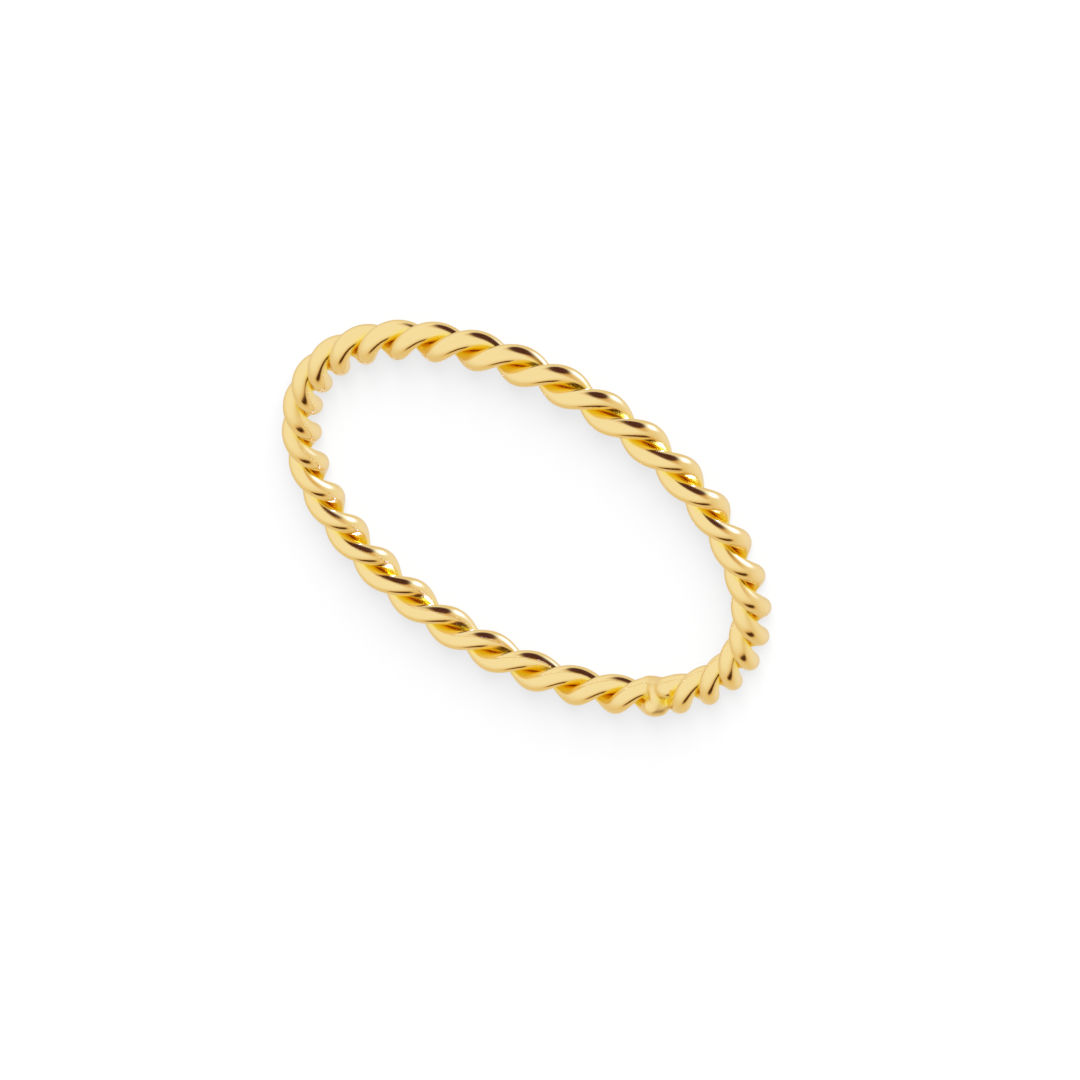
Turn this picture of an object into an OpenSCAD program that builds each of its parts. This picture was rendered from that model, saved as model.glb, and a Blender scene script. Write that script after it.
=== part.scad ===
// A slim finger ring made of two round wires that wind round each other in a
// left-hand lay. It lies flat: +Z is the finger's way through, the crests under
// it touch z = 0, and the soldered seam, where the wire ends butt, is at +Y.

/* [Finger size] */
// Inside diameter, measured between opposite crests of the twist
inner_d = 17.3; // [15:0.1:22]

/* [Wire] */
// Diameter of each round wire
wire_d = 0.73; // [0.6:0.01:0.85]
// Clearance kept between neighbouring pieces
piece_gap = 0.03; // [0.03:0.01:0.06]

/* [Twist] */
// Full turns that the wires make round each other in one round of the ring
turns = 16.42; // [12:0.01:17]
// Angle at which the first wire leaves the seam, from straight outwards
start_angle = 112; // [0:1:360]

/* [Seam] */
// Thickness of the solder between the butted wire ends
solder_t = 0.12; // [0.08:0.01:0.3]

/* [Hidden] */

// The twist was made by hand and isn't quite even. Each row is one wave of it:
// how many waves go round the ring, how far the twist runs ahead at the wave's
// peak, and where the peak is. All angles are in degrees
WAVES = 0;
AHEAD = 1;
PEAK = 2;
UNEVEN = [
    [1, 5.0, -17],
    [2, 5.5, 95],
    [3, 3.3, 187],
];

wire_r = wire_d / 2;
// From the middle of the twist to the middle of each wire
lay_r = wire_r + piece_gap / 2;
// From the ring's axis to the middle of the twist
ring_r = inner_d / 2 + lay_r + wire_r;
// Height of the middle of the twist above the surface that the ring lies on
lay_z = lay_r + wire_r;

// Direction of the seam, in degrees from +X
seam_at = 90;
// From the seam's mid-plane to the wire ends
end_gap = solder_t / 2 + piece_gap;
// Angle round the ring that this takes
end_angle = asin(end_gap / ring_r);

// Sides of a wire's section, and sections in each turn of the twist
wire_sides = 12;
turn_steps = 16;
steps = ceil(turns * turn_steps);
// Sections at each end over which the cut turns square to the ring
cut_steps = 3;
// Half the length of wire, in degrees round the ring, that gives its direction
look = 0.05;
solder_sides = 24;

function unit(v) = v / norm(v);

// Degrees by which the twist runs ahead, u degrees round from the seam
function ahead(u) =
    [for (row = UNEVEN) row[AHEAD] * cos(row[WAVES] * u - row[PEAK])] * [for (row = UNEVEN) 1];

// Angle of a wire about the middle of the twist, u degrees round from the seam
function lay_angle(u, turned) = start_angle + turned + turns * u + ahead(u);

// Middle of a wire, u degrees round from the seam
function on_wire(u, turned) =
    let (
        a = lay_angle(u, turned),
        r = ring_r + lay_r * cos(a)
    )
    [r * cos(seam_at + u), r * sin(seam_at + u), lay_z + lay_r * sin(a)];

function along_wire(u, turned) =
    unit(on_wire(u + look, turned) - on_wire(u - look, turned));

// How much a section is slid to the plane of the cut: all of it at the very end
function cut_share(i) = max(0, 1 - min(i, steps - i) / cut_steps);

// One section of a wire, square to it, or slid along it to the cut near an end
function section(i, turned) =
    let (
        u = end_angle + (360 - 2 * end_angle) * i / steps,
        p = on_wire(u, turned),
        t = along_wire(u, turned),
        up = unit([0, 0, 1] - t[2] * t),
        side = cross(t, up),
        cut_x = i < steps / 2 ? -end_gap : end_gap
    )
    [for (j = [0 : wire_sides - 1])
        let (
            a = 360 * j / wire_sides,
            q = p + wire_r * (cos(a) * up + sin(a) * side),
            share = cut_share(i)
        )
        share == 0 ? q : q + t * share * (cut_x - q[0]) / t[0]
    ];

// A wire from one side of the seam round to the other, with flat cut ends
module wire(turned) {
    n = wire_sides;
    points = [for (i = [0 : steps]) each section(i, turned)];
    wall = [
        for (i = [0 : steps - 1], j = [0 : n - 1])
            let (
                a = i * n + j,
                b = i * n + (j + 1) % n
            )
            each [[a, a + n, b + n], [a, b + n, b]]
    ];
    first_cut = [for (j = [1 : n - 2]) [0, j, j + 1]];
    last = steps * n;
    last_cut = [for (j = [1 : n - 2]) [last, last + j + 1, last + j]];
    polyhedron(points, concat(wall, first_cut, last_cut), convexity = 10);
}

module wire_a() {
    color([0.95, 0.80, 0.45])
        wire(0);
}

module wire_b() {
    color([0.90, 0.74, 0.38])
        wire(180);
}

// Solder between the butted ends, filed flush with the wires on both its sides
module solder_seam() {
    color([0.86, 0.66, 0.28])
        translate([0, ring_r, lay_z])
            rotate([90, 0, 90])
                linear_extrude(height = solder_t, center = true)
                    hull()
                        for (u = [0, 360], turned = [0, 180])
                            rotate(lay_angle(u, turned))
                                translate([lay_r, 0])
                                    circle(r = wire_r, $fn = solder_sides);
}

wire_a();
wire_b();
solder_seam();
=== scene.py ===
import math

import bpy
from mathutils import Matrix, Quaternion, Vector
from mathutils.kdtree import KDTree


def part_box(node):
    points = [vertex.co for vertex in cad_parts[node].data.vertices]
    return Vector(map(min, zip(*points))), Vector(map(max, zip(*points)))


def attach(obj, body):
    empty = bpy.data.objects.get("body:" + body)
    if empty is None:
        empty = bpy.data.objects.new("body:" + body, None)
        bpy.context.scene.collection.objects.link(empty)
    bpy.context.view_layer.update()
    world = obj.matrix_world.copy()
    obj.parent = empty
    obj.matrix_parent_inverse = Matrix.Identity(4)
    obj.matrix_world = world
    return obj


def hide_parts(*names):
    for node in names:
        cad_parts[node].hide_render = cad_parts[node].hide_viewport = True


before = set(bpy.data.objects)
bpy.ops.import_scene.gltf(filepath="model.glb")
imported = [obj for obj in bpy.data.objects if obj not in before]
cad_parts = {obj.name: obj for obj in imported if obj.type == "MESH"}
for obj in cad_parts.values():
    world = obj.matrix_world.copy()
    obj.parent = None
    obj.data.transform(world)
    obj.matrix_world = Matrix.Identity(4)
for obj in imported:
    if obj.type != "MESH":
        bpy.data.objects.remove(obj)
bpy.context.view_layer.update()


# The two wires. Each is one length of round, drawn gold wire. The pair is twisted
# by hand into a left-hand rope, bent round a mandrel and cut to the finger's size,
# so the twist isn't quite even and the ends don't meet in step.
MM = 0.001
finger_d = 17.3 * MM
rope_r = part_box("wire_a")[1].z / 2
wire_r = rope_r / 2
lay_r = wire_r
ring_r = finger_d / 2 + rope_r
turns = 16.42
start_angle = math.radians(112)
seam_at = math.radians(90)
# Where the bare wires start after the seam, and where they stop before it
wire_from = 0.74 * MM
wire_to = -0.26 * MM
# Waves of the uneven twist: how many go round, how far ahead each runs, where its peak is
uneven = [
    (1, math.radians(5.0), math.radians(-17)),
    (2, math.radians(5.5), math.radians(95)),
    (3, math.radians(3.3), math.radians(187)),
]
steps_a_turn = 64
wire_sides = 32


def join(tree, value, socket):
    """Links value to the socket if it is a socket, and otherwise sets it there."""
    if isinstance(value, bpy.types.NodeSocket):
        tree.links.new(value, socket)
    else:
        socket.default_value = value


def add(tree, kind, settings=None, **inputs):
    """A new node of that kind, with its settings, and its inputs by name."""
    made = tree.nodes.new(kind)
    for name, value in (settings or {}).items():
        setattr(made, name, value)
    for name, value in inputs.items():
        join(tree, value, made.inputs[name.replace("_", " ")])
    return made


def maths(tree, operation, *values):
    """The result of one sum, product or other step on plain values or sockets."""
    made = add(tree, "ShaderNodeMath", {"operation": operation})
    for value, socket in zip(values, made.inputs):
        join(tree, value, socket)
    return made.outputs[0]


def vector_maths(tree, operation, *values):
    """The outputs of one step on plain vectors or sockets, by name."""
    made = add(tree, "ShaderNodeVectorMath", {"operation": operation})
    for value, socket in zip(values, made.inputs):
        join(tree, value, socket)
    return made.outputs


def mixed(tree, share, first, second):
    """A colour on the way from the first to the second, as far as the share says."""
    made = add(tree, "ShaderNodeMix", {"data_type": "RGBA"})
    # Its sockets for plain numbers and vectors come before those for colours
    share_socket, first_socket, second_socket = made.inputs[0], made.inputs[6], made.inputs[7]
    join(tree, share, share_socket)
    join(tree, first, first_socket)
    join(tree, second, second_socket)
    return made.outputs[2]


def twisted_wire_tree():
    """Geometry Nodes that lay one wire of the rope round the ring, from seam to seam."""
    tree = bpy.data.node_groups.new("twisted_wire", "GeometryNodeTree")
    face = tree.interface
    face.new_socket("Geometry", in_out="INPUT", socket_type="NodeSocketGeometry")
    floats = ["Ring Radius", "Lay Radius", "Wire Radius", "Turns", "Start Angle"]
    floats += ["Seam Direction", "From", "To"]
    for wave, _, _ in uneven:
        floats += [f"Ahead {wave}", f"Peak {wave}"]
    for name in floats:
        face.new_socket(name, in_out="INPUT", socket_type="NodeSocketFloat")
    for name in ("Steps", "Sides"):
        face.new_socket(name, in_out="INPUT", socket_type="NodeSocketInt")
    face.new_socket("Material", in_out="INPUT", socket_type="NodeSocketMaterial")
    face.new_socket("Geometry", in_out="OUTPUT", socket_type="NodeSocketGeometry")
    given = tree.nodes.new("NodeGroupInput").outputs

    # A straight line is bent round the ring, and each point set off by the twist
    line = add(tree, "GeometryNodeCurvePrimitiveLine")
    path = add(tree, "GeometryNodeResampleCurve", Curve=line.outputs[0], Count=given["Steps"])
    share = add(tree, "GeometryNodeSplineParameter").outputs["Factor"]
    span = maths(tree, "SUBTRACT", given["To"], given["From"])
    gone = maths(tree, "MULTIPLY_ADD", share, span, given["From"])
    lay = maths(tree, "MULTIPLY_ADD", gone, given["Turns"], given["Start Angle"])
    for wave, _, _ in uneven:
        phase = maths(tree, "SUBTRACT", maths(tree, "MULTIPLY", float(wave), gone), given[f"Peak {wave}"])
        lay = maths(tree, "MULTIPLY_ADD", maths(tree, "COSINE", phase), given[f"Ahead {wave}"], lay)
    out = maths(tree, "MULTIPLY_ADD", maths(tree, "COSINE", lay), given["Lay Radius"], given["Ring Radius"])
    middle_z = maths(tree, "ADD", given["Lay Radius"], given["Wire Radius"])
    height = maths(tree, "MULTIPLY_ADD", maths(tree, "SINE", lay), given["Lay Radius"], middle_z)
    bearing = maths(tree, "ADD", given["Seam Direction"], gone)
    place = add(
        tree,
        "ShaderNodeCombineXYZ",
        X=maths(tree, "MULTIPLY", out, maths(tree, "COSINE", bearing)),
        Y=maths(tree, "MULTIPLY", out, maths(tree, "SINE", bearing)),
        Z=height,
    )
    laid = add(tree, "GeometryNodeSetPosition", Geometry=path.outputs[0], Position=place.outputs[0])

    # A round section is drawn along it, as wire is through a die
    along = add(tree, "GeometryNodeCaptureAttribute", Geometry=laid.outputs[0])
    along.capture_items.new("FLOAT", "Length")
    join(tree, add(tree, "GeometryNodeSplineParameter").outputs["Length"], along.inputs["Length"])
    section = add(
        tree,
        "GeometryNodeCurvePrimitiveCircle",
        Resolution=given["Sides"],
        Radius=given["Wire Radius"],
    )
    across = add(tree, "GeometryNodeCaptureAttribute", Geometry=section.outputs[0])
    across.capture_items.new("VECTOR", "Place")
    join(tree, add(tree, "GeometryNodeInputPosition").outputs[0], across.inputs["Place"])
    wire = tree.nodes.new("GeometryNodeCurveToMesh")
    join(tree, along.outputs[0], wire.inputs["Curve"])
    join(tree, across.outputs[0], wire.inputs["Profile Curve"])
    join(tree, True, wire.inputs["Fill Caps"])
    smooth = add(tree, "GeometryNodeSetShadeSmooth", Geometry=wire.outputs[0])

    # Where each point lay on the straight wire, for marks that run along it
    straight = add(tree, "ShaderNodeSeparateXYZ", Vector=across.outputs["Place"])
    on_wire = add(
        tree,
        "ShaderNodeCombineXYZ",
        X=straight.outputs["X"],
        Y=straight.outputs["Y"],
        Z=along.outputs["Length"],
    )
    marked = add(
        tree,
        "GeometryNodeStoreNamedAttribute",
        {"data_type": "FLOAT_VECTOR", "domain": "POINT"},
        Geometry=smooth.outputs[0],
        Name="on_wire",
        Value=on_wire.outputs[0],
    )

    # How far each point is from the middle of the rope: 0 where the wires touch, 1 on a crest
    point = add(tree, "ShaderNodeSeparateXYZ", Vector=add(tree, "GeometryNodeInputPosition").outputs[0])
    x, y, z = point.outputs
    from_axis = maths(tree, "SQRT", maths(tree, "MULTIPLY_ADD", x, x, maths(tree, "MULTIPLY", y, y)))
    sideways = maths(tree, "SUBTRACT", from_axis, given["Ring Radius"])
    upwards = maths(tree, "SUBTRACT", z, middle_z)
    squares = maths(tree, "MULTIPLY_ADD", sideways, sideways, maths(tree, "MULTIPLY", upwards, upwards))
    crest = maths(tree, "DIVIDE", maths(tree, "SQRT", squares), middle_z)
    marked = add(
        tree,
        "GeometryNodeStoreNamedAttribute",
        {"data_type": "FLOAT", "domain": "POINT"},
        Geometry=marked.outputs[0],
        Name="crest",
        Value=crest,
    )
    finished = add(tree, "GeometryNodeSetMaterial", Geometry=marked.outputs[0], Material=given["Material"])
    whole = add(tree, "GeometryNodeRealizeInstances", Geometry=finished.outputs[0])
    join(tree, whole.outputs[0], tree.nodes.new("NodeGroupOutput").inputs[0])
    return tree


# Marks of the work, counted across and along the straight wire: long soft waves of
# the hand's pressure, and fine lines from the die and the buff
waves_across, waves_along, waves_detail = 1.8 / MM, 0.9 / MM, 1.0
lines_across, lines_along, lines_detail = 26 / MM, 1.3 / MM, 3.0
# Height of the lines against that of the waves
lines_height = 0.04
# What the lines, the grooves and a dull place each add to the roughness
lines_rough, groove_rough, dull_rough = 0.03, 0.05, 0.20
# Where the buff starts to miss the wire towards a groove, and where it doesn't reach
# it at all, as shares of the way from the middle of the rope out to a crest. The same
# span blends in the painted deeper yellow that stands for light mirrored between the wires
groove_starts, groove_full = 0.64, 0.40


def polish_and_painted_bounce_group():
    """Marks that drawing, twisting and polishing leave on gold, placed on the straight wire, and a painted
    deeper yellow in the grooves that stands for light mirrored between the wires.
    """
    tree = bpy.data.node_groups.new("polish_and_painted_bounce", "ShaderNodeTree")
    face = tree.interface
    face.new_socket("On Wire", in_out="INPUT", socket_type="NodeSocketVector")
    face.new_socket("Crest", in_out="INPUT", socket_type="NodeSocketFloat")
    face.new_socket("Gold", in_out="INPUT", socket_type="NodeSocketColor")
    face.new_socket("Painted Bounce Yellow", in_out="INPUT", socket_type="NodeSocketColor")
    face.new_socket("Polish", in_out="INPUT", socket_type="NodeSocketFloat")
    face.new_socket("Dull", in_out="INPUT", socket_type="NodeSocketFloat")
    face.new_socket("Color", in_out="OUTPUT", socket_type="NodeSocketColor")
    face.new_socket("Roughness", in_out="OUTPUT", socket_type="NodeSocketFloat")
    face.new_socket("Height", in_out="OUTPUT", socket_type="NodeSocketFloat")
    given = tree.nodes.new("NodeGroupInput").outputs

    def noise(across, along, detail):
        counted = vector_maths(tree, "MULTIPLY", given["On Wire"], (across, across, along))
        made = add(tree, "ShaderNodeTexNoise", Vector=counted["Vector"], Scale=1.0, Detail=detail)
        return made.outputs[0]

    waves = noise(waves_across, waves_along, waves_detail)
    lines = noise(lines_across, lines_along, lines_detail)
    groove = add(
        tree,
        "ShaderNodeMapRange",
        Value=given["Crest"],
        From_Min=groove_starts,
        From_Max=groove_full,
    ).outputs[0]
    rough = maths(tree, "MULTIPLY_ADD", lines, lines_rough, given["Polish"])
    rough = maths(tree, "MULTIPLY_ADD", groove, groove_rough, rough)
    rough = maths(tree, "MULTIPLY_ADD", given["Dull"], dull_rough, rough)

    found = tree.nodes.new("NodeGroupOutput").inputs
    # Towards the grooves the colour turns to the painted deeper yellow of light mirrored between the wires
    join(tree, mixed(tree, groove, given["Gold"], given["Painted Bounce Yellow"]), found["Color"])
    join(tree, rough, found["Roughness"])
    join(tree, maths(tree, "MULTIPLY_ADD", lines, lines_height, waves), found["Height"])
    return tree


marks_and_painted_bounce = polish_and_painted_bounce_group()


def gold(name, colour, painted_bounce_colour, polish, relief):
    """A polished gold: its own colour, a painted deeper yellow for light mirrored in its grooves, how rough
    its polish is and how deep its marks are.
    """
    made = bpy.data.materials.new(name)
    made.use_nodes = True
    tree = made.node_tree
    shader = tree.nodes["Principled BSDF"]
    marks = tree.nodes.new("ShaderNodeGroup")
    marks.node_tree = marks_and_painted_bounce
    place = add(tree, "ShaderNodeAttribute", {"attribute_name": "on_wire"})
    crest = add(tree, "ShaderNodeAttribute", {"attribute_name": "crest"})
    # A mesh without this one isn't dull anywhere
    dull = add(tree, "ShaderNodeAttribute", {"attribute_name": "dull"})
    join(tree, place.outputs["Vector"], marks.inputs["On Wire"])
    join(tree, crest.outputs["Fac"], marks.inputs["Crest"])
    join(tree, dull.outputs["Fac"], marks.inputs["Dull"])
    join(tree, (*colour, 1.0), marks.inputs["Gold"])
    join(tree, (*painted_bounce_colour, 1.0), marks.inputs["Painted Bounce Yellow"])
    join(tree, polish, marks.inputs["Polish"])
    relief_node = add(tree, "ShaderNodeBump", Height=marks.outputs["Height"], Distance=relief)
    join(tree, marks.outputs["Color"], shader.inputs["Base Color"])
    join(tree, marks.outputs["Roughness"], shader.inputs["Roughness"])
    join(tree, relief_node.outputs[0], shader.inputs["Normal"])
    join(tree, 1.0, shader.inputs["Metallic"])
    return made


# Yellow gold, and a painted deeper yellow for the grooves, which stands for light mirrored to and fro
# between the wires
yellow = (0.93, 0.70, 0.28)
painted_bounce_yellow = (0.95, 0.73, 0.10)
# How rough the buff leaves it, and how deep its marks are
buffed = 0.13
marks_depth = 0.006 * MM
wire_gold = gold("wire_gold", yellow, painted_bounce_yellow, buffed, marks_depth)
wire_tree = twisted_wire_tree()
inputs = {i.name: i.identifier for i in wire_tree.interface.items_tree if i.in_out == "INPUT"}


def plain_mesh(name, tree, values):
    """Runs a tree once with these values and keeps the result as a plain mesh."""
    source = bpy.data.objects.new(name + "_source", bpy.data.meshes.new(name + "_source"))
    bpy.context.scene.collection.objects.link(source)
    modifier = source.modifiers.new("tree", "NODES")
    modifier.node_group = tree
    for label, value in values.items():
        modifier[inputs[label]] = value
    graph = bpy.context.evaluated_depsgraph_get()
    mesh = bpy.data.meshes.new_from_object(source.evaluated_get(graph), depsgraph=graph)
    bpy.data.objects.remove(source)
    mesh.name = name
    made = bpy.data.objects.new(name, mesh)
    bpy.context.scene.collection.objects.link(made)
    return made


for node, turned in (("wire_a", 0.0), ("wire_b", math.pi)):
    values = {
        "Ring Radius": ring_r,
        "Lay Radius": lay_r,
        "Wire Radius": wire_r,
        "Turns": turns,
        "Start Angle": start_angle + turned,
        "Seam Direction": seam_at,
        "From": wire_from / ring_r,
        "To": math.tau + wire_to / ring_r,
        "Steps": math.ceil(turns * steps_a_turn),
        "Sides": wire_sides,
        "Material": wire_gold,
    }
    for wave, ahead, peak in uneven:
        values[f"Ahead {wave}"] = ahead
        values[f"Peak {wave}"] = peak
    wire = plain_mesh(f"polished_{node}", wire_tree, values)
    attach(wire, "root")
    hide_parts(node)


# The solder. The cut wire ends are butted and flooded with gold solder, then filed
# and polished with the wires. It rounds the ends off, runs across from one wire's
# end to its start, fills the grooves with a low web and stands as a drop outside.
solder_from, solder_to = -0.86 * MM, 1.26 * MM
solder_rings = 132
solder_sides = 128
# Stretches of wire in the solder, from and to along the ring from the seam, and how
# far round the rope from the first wire. The last is the solder that runs across
well_before, well_after = 2 * solder_from, 2 * solder_to
stretches = [
    (well_before, 0.0, 0.0),
    (well_before, -0.22 * MM, math.pi),
    (0.70 * MM, well_after, 0.0),
    (0.30 * MM, well_after, math.pi),
    (-0.45 * MM, 0.70 * MM, 0.0),
]
line_step = 0.01 * MM
# The web and the drop. Each: direction from straight outwards, how far out and along
# the ring its middle is, and its half sizes outwards, across and along the ring
lumps = [
    (0.0, 0.0, 0.08 * MM, (0.52 * MM, 0.52 * MM, 0.30 * MM)),
    (math.radians(34), 0.34 * MM, -0.12 * MM, (0.39 * MM, 0.28 * MM, 0.40 * MM)),
]
# How far apart two forms start to flow together, in the flood and at its thin edges
soften, soften_thin = 0.14 * MM, 0.014 * MM
# The solder lies over the wires from here to there, and thins out under them
over_from, over_to, feather = -0.56 * MM, 0.96 * MM, 0.30 * MM
over, under = 0.003 * MM, 0.006 * MM
# The middle of it is softer than the wire and takes less of a polish
dull_from, dull_to, dull_feather = -0.10 * MM, 0.70 * MM, 0.35 * MM
# The search for its surface starts well outside the rope and ends at a thin core
search_r = 3 * wire_r
core_r = 0.02 * MM
near_enough = 0.0003 * MM


def from_rope(angle, edge, t):
    """The place at this angle and distance from the rope's middle, t along the ring from the seam."""
    bearing = seam_at + t / ring_r
    out = ring_r + edge * math.cos(angle)
    return Vector((out * math.cos(bearing), out * math.sin(bearing), rope_r + edge * math.sin(angle)))


def first_wire_angle(t):
    """Where the first wire is about the rope's middle: its start after the seam, its end before it."""
    gone = t / ring_r if t > 0 else math.tau + t / ring_r
    ahead = sum(height * math.cos(wave * gone - peak) for wave, height, peak in uneven)
    whole_turns = 0 if t > 0 else math.floor(turns)
    return start_angle + turns * gone + ahead - math.tau * whole_turns


def middle_line(first, last, turned):
    """The middle of a stretch of wire, as a tree that finds its nearest place."""
    steps = round((last - first) / line_step)
    first_angle = first_wire_angle(first) + turned
    last_angle = first_wire_angle(last) + turned
    tree = KDTree(steps + 1)
    for i in range(steps + 1):
        share = i / steps
        angle = first_angle + (last_angle - first_angle) * share
        tree.insert(from_rope(angle, lay_r, first + (last - first) * share), i)
    tree.balance()
    return tree


middle_lines = [middle_line(*stretch) for stretch in stretches]


def soft_min(a, b, soft):
    """The smaller of two distances, blended where they are less than soft apart."""
    share = min(1.0, max(0.0, 0.5 + 0.5 * (b - a) / soft))
    return b * (1 - share) + a * share - soft * share * (1 - share)


def smooth_step(value, start, end):
    """How far the value has gone from start to end, from 0 to 1, eased at both."""
    share = min(1.0, max(0.0, (value - start) / (end - start)))
    return share * share * (3 - 2 * share)


def outside_lump(offsets, sizes):
    """About how far a place is outside a round lump, from its offset and the half size each way."""
    return (math.hypot(*(offset / size for offset, size in zip(offsets, sizes))) - 1) * min(sizes)


def outside_solder(angle, edge, t):
    """About how far a place is outside the solder."""
    lies = smooth_step(t, over_from - feather, over_from) * smooth_step(t, over_to + feather, over_to)
    soft = soften_thin + (soften - soften_thin) * lies
    place = from_rope(angle, edge, t)
    gap = edge
    for line in middle_lines:
        gap = soft_min(gap, line.find(place)[2] - wire_r, soft)
    for direction, out, along, sizes in lumps:
        turned = angle - direction
        offsets = (edge * math.cos(turned) - out, edge * math.sin(turned), t - along)
        gap = soft_min(gap, outside_lump(offsets, sizes), soft)
    return gap + under - (over + under) * lies


def solder_edge(angle, t):
    """How far the solder reaches from the rope's middle, found by steps from outside it."""
    edge = search_r
    gap = edge
    while gap > near_enough and edge > core_r:
        gap = outside_solder(angle, edge, t)
        edge -= gap
    return max(edge, core_r)


def solder_mesh(name):
    """The solder's skin round the rope, closed at both ends, with its marks' places."""
    points, on_wire, crest, dull = [], [], [], []
    for i in range(solder_rings + 1):
        t = solder_from + (solder_to - solder_from) * i / solder_rings
        dull_before = smooth_step(t, dull_from - dull_feather, dull_from)
        dull_after = smooth_step(t, dull_to + dull_feather, dull_to)
        for j in range(solder_sides):
            angle = math.tau * j / solder_sides
            edge = solder_edge(angle, t)
            points.append(from_rope(angle, edge, t))
            on_wire.append((edge * math.cos(angle), edge * math.sin(angle), t))
            crest.append(edge / rope_r)
            dull.append(dull_before * dull_after)
    faces = []
    for i in range(solder_rings):
        for j in range(solder_sides):
            a = i * solder_sides + j
            b = i * solder_sides + (j + 1) % solder_sides
            faces.append((a, a + solder_sides, b + solder_sides, b))
    last_ring = solder_rings * solder_sides
    faces.append(tuple(range(solder_sides)))
    faces.append(tuple(reversed(range(last_ring, last_ring + solder_sides))))
    mesh = bpy.data.meshes.new(name)
    mesh.from_pydata(points, [], faces)
    mesh.shade_smooth()
    place = mesh.attributes.new("on_wire", "FLOAT_VECTOR", "POINT")
    place.data.foreach_set("vector", [v for p in on_wire for v in p])
    for label, values in (("crest", crest), ("dull", dull)):
        mesh.attributes.new(label, "FLOAT", "POINT").data.foreach_set("value", values)
    return mesh


solder = bpy.data.objects.new("polished_solder_seam", solder_mesh("polished_solder_seam"))
bpy.context.scene.collection.objects.link(solder)
# The solder's gold has the same painted deeper yellow towards its hollows
solder.data.materials.append(gold("solder_gold", yellow, painted_bounce_yellow, buffed, marks_depth))
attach(solder, "root")
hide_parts("solder_seam")


# The table. A white matt sheet that the ring lies on, far wider than the picture.
# It has a painted glow, as if it were lit from behind too, so that it stays pale and
# the shadow on it faint. The gold doesn't mirror it.
sheet_w = 2.4
sheet_white = (0.9, 0.9, 0.9, 1.0)
sheet_rough = 0.9
sheet_glow = 0.745
white = bpy.data.materials.new("white_sheet")
white.use_nodes = True
sheet_shader = white.node_tree.nodes["Principled BSDF"]
sheet_shader.inputs["Base Color"].default_value = sheet_white
sheet_shader.inputs["Roughness"].default_value = sheet_rough
sheet_shader.inputs["Specular IOR Level"].default_value = 0.0
sheet_shader.inputs["Emission Color"].default_value = (1.0, 1.0, 1.0, 1.0)
sheet_shader.inputs["Emission Strength"].default_value = sheet_glow
half = sheet_w / 2
corners = [(-half, -half, 0), (half, -half, 0), (half, half, 0), (-half, half, 0)]
sheet_mesh = bpy.data.meshes.new("white_sheet")
sheet_mesh.from_pydata(corners, [], [(0, 1, 2, 3)])
sheet = bpy.data.objects.new("white_sheet", sheet_mesh)
bpy.context.scene.collection.objects.link(sheet)
sheet.data.materials.append(white)
sheet.visible_glossy = False


# The studio. The ring is in a white tent, whitest on its lit side. What the polished
# gold mirrors there is a window with the sun on it, the dark gap that the picture is
# taken through, a thin dark gap at the tent's foot, and paler and warmer wall.
studio = bpy.data.worlds.new("white_tent")
studio.use_nodes = True
tent = studio.node_tree
tent.nodes.clear()


def bearing_vector(azimuth, elevation):
    """The direction of something at this azimuth and elevation, in degrees."""
    a, e = math.radians(azimuth), math.radians(elevation)
    return Vector((math.cos(e) * math.cos(a), math.cos(e) * math.sin(a), math.sin(e)))


def patch_group():
    """A soft-edged oval in one direction of the tent, as a mask from 0 to 1."""
    tree = bpy.data.node_groups.new("tent_patch", "ShaderNodeTree")
    face = tree.interface
    for name in ("Direction", "Middle", "Long Side", "Short Side"):
        face.new_socket(name, in_out="INPUT", socket_type="NodeSocketVector")
    for name in ("Half Length", "Half Width", "Soft"):
        face.new_socket(name, in_out="INPUT", socket_type="NodeSocketFloat")
    face.new_socket("Mask", in_out="OUTPUT", socket_type="NodeSocketFloat")
    given = tree.nodes.new("NodeGroupInput").outputs

    def towards(side):
        return vector_maths(tree, "DOT_PRODUCT", given["Direction"], given[side])["Value"]

    ahead = towards("Middle")
    across = maths(tree, "DIVIDE", maths(tree, "DIVIDE", towards("Short Side"), ahead), given["Half Width"])
    along = maths(tree, "DIVIDE", maths(tree, "DIVIDE", towards("Long Side"), ahead), given["Half Length"])
    squares = maths(tree, "MULTIPLY_ADD", across, across, maths(tree, "MULTIPLY", along, along))
    edge = add(tree, "ShaderNodeMapRange", {"interpolation_type": "SMOOTHSTEP"})
    join(tree, maths(tree, "SQRT", squares), edge.inputs["Value"])
    join(tree, maths(tree, "ADD", 1.0, given["Soft"]), edge.inputs["From Min"])
    join(tree, maths(tree, "SUBTRACT", 1.0, given["Soft"]), edge.inputs["From Max"])
    mask = maths(tree, "MULTIPLY", edge.outputs[0], maths(tree, "GREATER_THAN", ahead, 0.0))
    join(tree, mask, tree.nodes.new("NodeGroupOutput").inputs["Mask"])
    return tree


patch = patch_group()
direction = add(tent, "ShaderNodeTexCoord").outputs["Generated"]
# The walls turn from the dim colour to the lit one as they turn towards the lit side
lit_side = bearing_vector(-107.5, 21.8)
dim_at, lit_at = -0.46, 0.42
dim_wall = (0.84, 0.75, 0.59, 1.0)
lit_wall = (0.99, 1.03, 1.19, 1.0)
lit = add(tent, "ShaderNodeMapRange", {"interpolation_type": "SMOOTHSTEP"}, From_Min=dim_at, From_Max=lit_at)
join(tent, vector_maths(tent, "DOT_PRODUCT", direction, lit_side)["Value"], lit.inputs["Value"])
seen = mixed(tent, lit.outputs[0], dim_wall, lit_wall)
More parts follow.
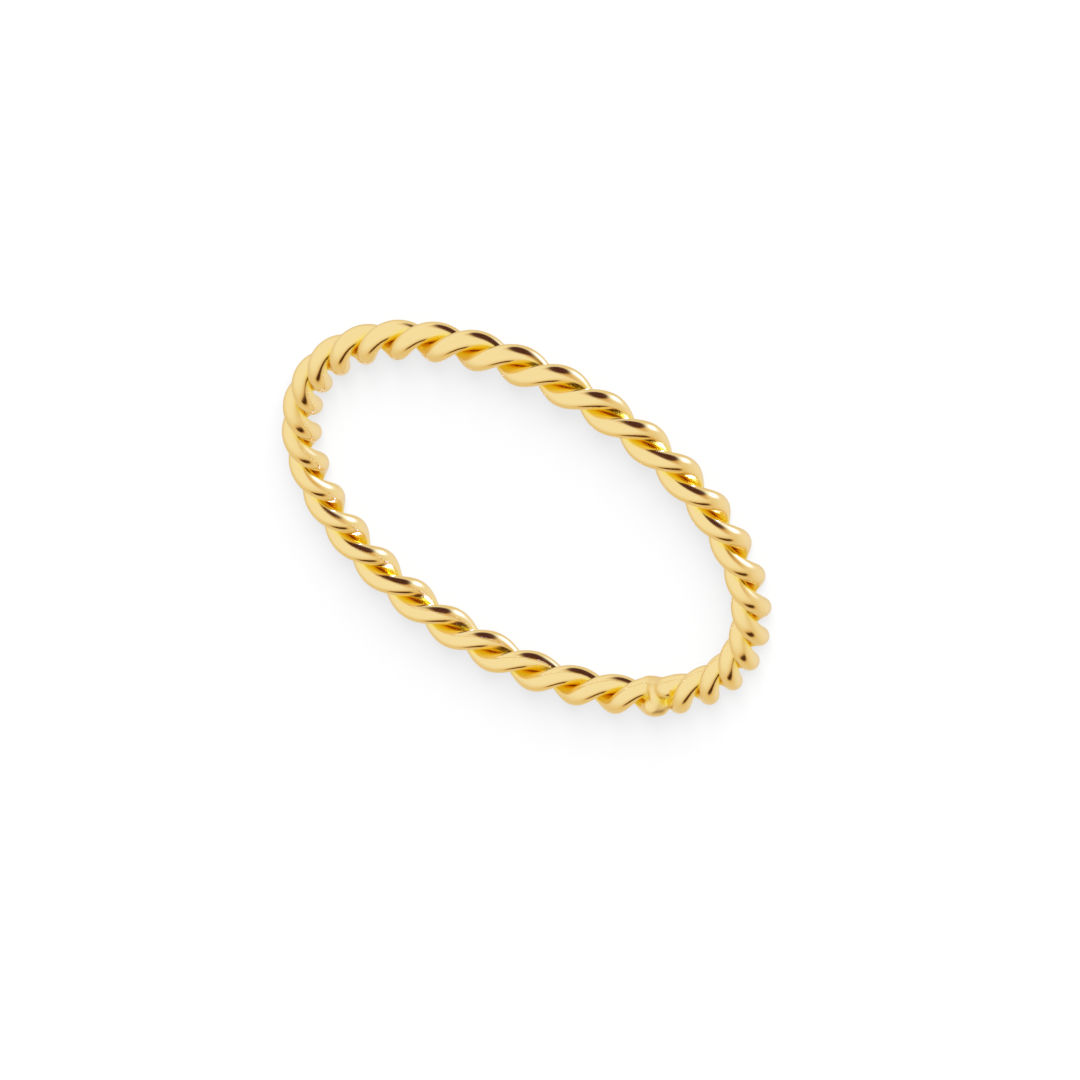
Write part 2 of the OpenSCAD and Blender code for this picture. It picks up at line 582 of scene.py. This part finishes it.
# The sun is far brighter than white where the gold mirrors it twice, in the grooves.
# Where the gold mirrors it once it is held back, so that its edge stays soft
sun_once = (2.4, 3.2, 8.0, 1.0)
sun_again = (10.0, 20.0, 200.0, 1.0)
ray = tent.nodes.new("ShaderNodeLightPath").outputs
mirrored_again = maths(tent, "GREATER_THAN", ray["Glossy Depth"], 1.5)
sun = mixed(tent, mirrored_again, sun_once, sun_again)
# Each patch: azimuth, elevation and lean of its oval in degrees, half length and half
# width as shares of how far away it is, softness, colour. A later one lies on top
patches = [
    ("warm shade round the gap", -152.6, -16.1, -64.2, 1.14, 0.341, 0.75, (0.72, 0.47, 0.20, 1.0)),
    ("warm edge of the foot", 100.3, 39.3, 122.0, 0.56, 0.27, 0.60, (0.82, 0.56, 0.28, 1.0)),
    ("gap at the foot", 100.8, 39.2, 122.0, 0.47, 0.17, 0.30, (0.05, 0.01, 0.0, 1.0)),
    ("paler wall", 114.8, -37.1, -26.3, 0.85, 0.665, 0.97, (0.95, 0.96, 1.10, 1.0)),
    ("picture gap", -141.5, -30.8, -41.0, 0.85, 0.437, 0.28, (0.086, 0.031, 0.034, 1.0)),
    ("window", 167.6, -53.6, -6.1, 0.36, 0.22, 0.92, (1.32, 1.74, 3.6, 1.0)),
    ("sun on the window", 167.6, -53.6, -6.1, 0.195, 0.112, 0.72, sun),
]
for name, azimuth, elevation, lean, half_length, half_width, soft, colour in patches:
    middle = bearing_vector(azimuth, elevation)
    level = Vector((0, 0, 1)).cross(middle).normalized()
    upright = middle.cross(level)
    turn = math.radians(lean)
    made = tent.nodes.new("ShaderNodeGroup")
    made.node_tree = patch
    made.label = name
    join(tent, direction, made.inputs["Direction"])
    join(tent, middle, made.inputs["Middle"])
    join(tent, upright * math.cos(turn) + level * math.sin(turn), made.inputs["Long Side"])
    join(tent, level * math.cos(turn) - upright * math.sin(turn), made.inputs["Short Side"])
    join(tent, half_length, made.inputs["Half Length"])
    join(tent, half_width, made.inputs["Half Width"])
    join(tent, soft, made.inputs["Soft"])
    seen = mixed(tent, made.outputs["Mask"], seen, colour)

# The gold mirrors the tent and its gaps. What the sheet gets from the tent is even,
# also by way of the gold
even_light = 0.06
mirrored = add(tent, "ShaderNodeBackground", Color=seen, Strength=1.0)
even = add(tent, "ShaderNodeBackground", Color=(1.0, 1.0, 1.0, 1.0), Strength=even_light)
not_by_sheet = maths(tent, "LESS_THAN", ray["Diffuse Depth"], 0.5)
choice = tent.nodes.new("ShaderNodeMixShader")
join(tent, maths(tent, "MULTIPLY", ray["Is Glossy Ray"], not_by_sheet), choice.inputs[0])
join(tent, even.outputs[0], choice.inputs[1])
join(tent, mirrored.outputs[0], choice.inputs[2])
join(tent, choice.outputs[0], tent.nodes.new("ShaderNodeOutputWorld").inputs["Surface"])
bpy.context.scene.world = studio

# A wide soft lamp, low and a little to one side of the camera, throws a faint shadow
# on the sheet. The gold doesn't mirror it
lamp_az, lamp_el = -140.0, 18.0
lamp_strength = 2.5
lamp_width = math.radians(25)
lamp_away = 500 * MM
lamp_data = bpy.data.lights.new("soft_lamp", "SUN")
lamp_data.energy = lamp_strength
lamp_data.angle = lamp_width
lamp = bpy.data.objects.new("soft_lamp", lamp_data)
lamp_back = bearing_vector(lamp_az, lamp_el)
lamp.location = lamp_back * lamp_away
lamp.rotation_mode = "QUATERNION"
lamp.rotation_quaternion = lamp_back.to_track_quat("Z", "Y")
lamp.visible_glossy = False
bpy.context.scene.collection.objects.link(lamp)

# The ring leans in the photo and lies flat here, so the camera takes the photo's angle
# to the ring and is rolled. It aims a little past the ring's middle
camera_az, camera_el, camera_roll = -145.77, 31.23, -146.78
camera_away = 469.75 * MM
camera_lens = 424.65
sees_from, sees_to = 50 * MM, 3000 * MM
look_right, look_down = 0.548 * MM, 0.735 * MM
camera_data = bpy.data.cameras.new("photo_camera")
camera_data.lens = camera_lens
camera_data.clip_start = sees_from
camera_data.clip_end = sees_to
camera = bpy.data.objects.new("photo_camera", camera_data)
back = bearing_vector(camera_az, camera_el)
facing = back.to_track_quat("Z", "Y") @ Quaternion((0, 0, 1), math.radians(camera_roll))
right, up = facing @ Vector((1, 0, 0)), facing @ Vector((0, 1, 0))
camera.location = Vector((0, 0, rope_r)) + back * camera_away + right * look_right - up * look_down
camera.rotation_mode = "QUATERNION"
camera.rotation_quaternion = facing
bpy.context.scene.collection.objects.link(camera)
bpy.context.scene.camera = camera
bpy.context.scene.view_settings.view_transform = "Standard"
# Light goes to and fro many times in the grooves
bpy.context.scene.cycles.max_bounces = 20
bpy.context.scene.cycles.glossy_bounces = 16
